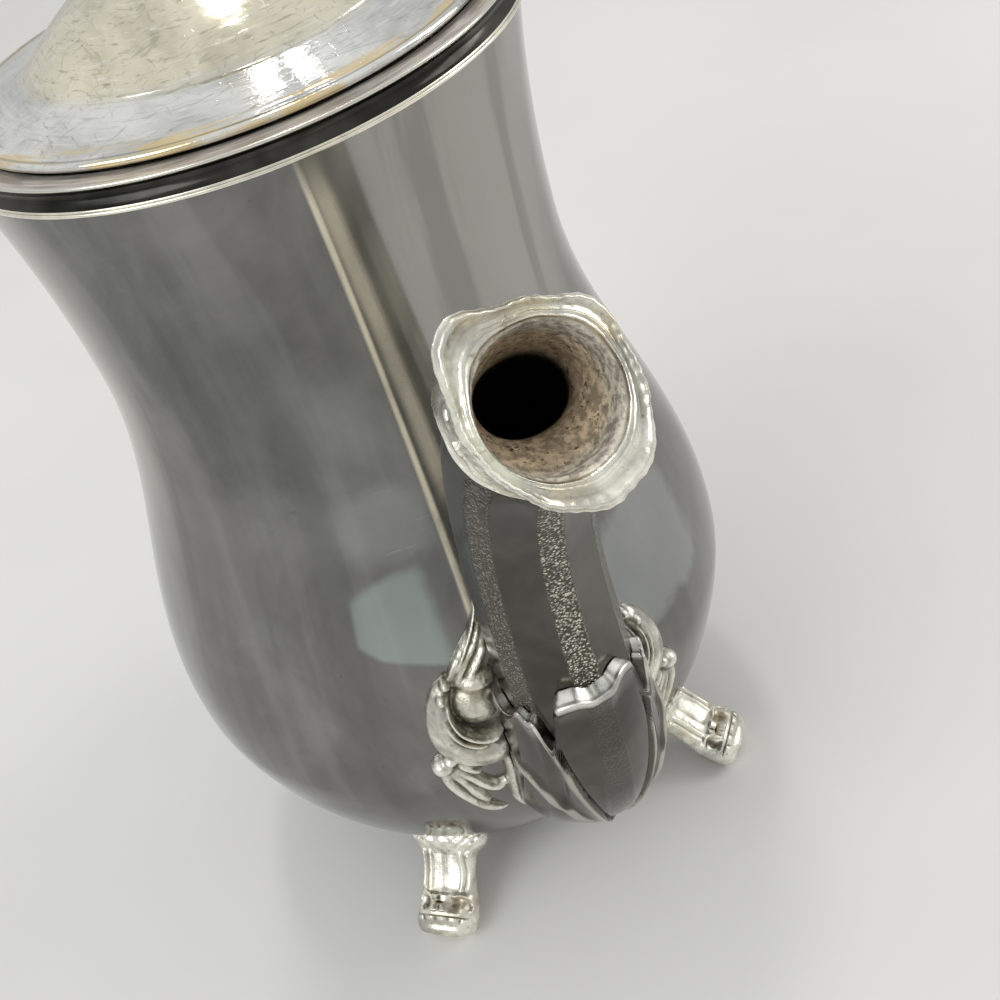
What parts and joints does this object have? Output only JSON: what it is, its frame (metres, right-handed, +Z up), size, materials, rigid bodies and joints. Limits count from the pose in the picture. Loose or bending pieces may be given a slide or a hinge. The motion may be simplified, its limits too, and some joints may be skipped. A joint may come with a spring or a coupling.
{
  "type": "footed teapot",
  "caption": "Footed pear-shaped metal teapot with a panelled spout in a leafy cast sheath, a C-scroll handle and a hinged domed lid.",
  "frame": {"origin": "on the ground, under the middle of the whole outline", "axes": "+X towards the spout, +Y to the pot's left seen from its handle, +Z up"},
  "size_m": [0.2256, 0.136, 0.2505],
  "materials": {
    "silver": "polished silver plate, lightly tarnished, with fine scratches",
    "cast_silver": "cast silver plate, grainy, bright on its ridges and dark in its hollows",
    "lid_silver": "finely brushed round the middle, warm silver plate",
    "steel": "turned and worn",
    "insulator": "dark, satin"
  },
  "bodies": {
    "pot": {"body_shell": "silver", "base_plate": "silver", "rim_mount": "cast_silver", "spout_tube": "silver", "spout_sheath": "silver", "spout_collar": "cast_silver", "spout_leaf_left": "cast_silver", "spout_leaf_right": "cast_silver", "foot_front_left": "cast_silver", "foot_back_left": "cast_silver", "foot_back_right": "cast_silver", "foot_front_right": "cast_silver", "hinge_bracket": "cast_silver", "hinge_pin": "steel", "handle_upper_socket": "silver", "handle_upper_insulator": "insulator", "handle_upper_socket_pin": "steel", "handle_upper_grip_pin": "steel", "handle_lower_socket": "silver", "handle_lower_insulator": "insulator", "handle_lower_socket_pin": "steel", "handle_lower_grip_pin": "steel", "handle_grip": "silver"},
    "lid": {"lid_dome": "lid_silver", "lid_bezel": "silver", "hinge_leaf": "cast_silver", "finial_base": "cast_silver", "finial_washer": "insulator", "finial_knob": "cast_silver", "finial_screw": "steel", "finial_nut": "steel"}
  },
  "joints": [
    {"name": "lid_hinge", "type": "hinge", "parent": "pot", "child": "lid", "pos_m": [-0.05829, 0, 0.2075], "axis": [0, -1, 0], "range_deg": [0, 100]}
  ]
}
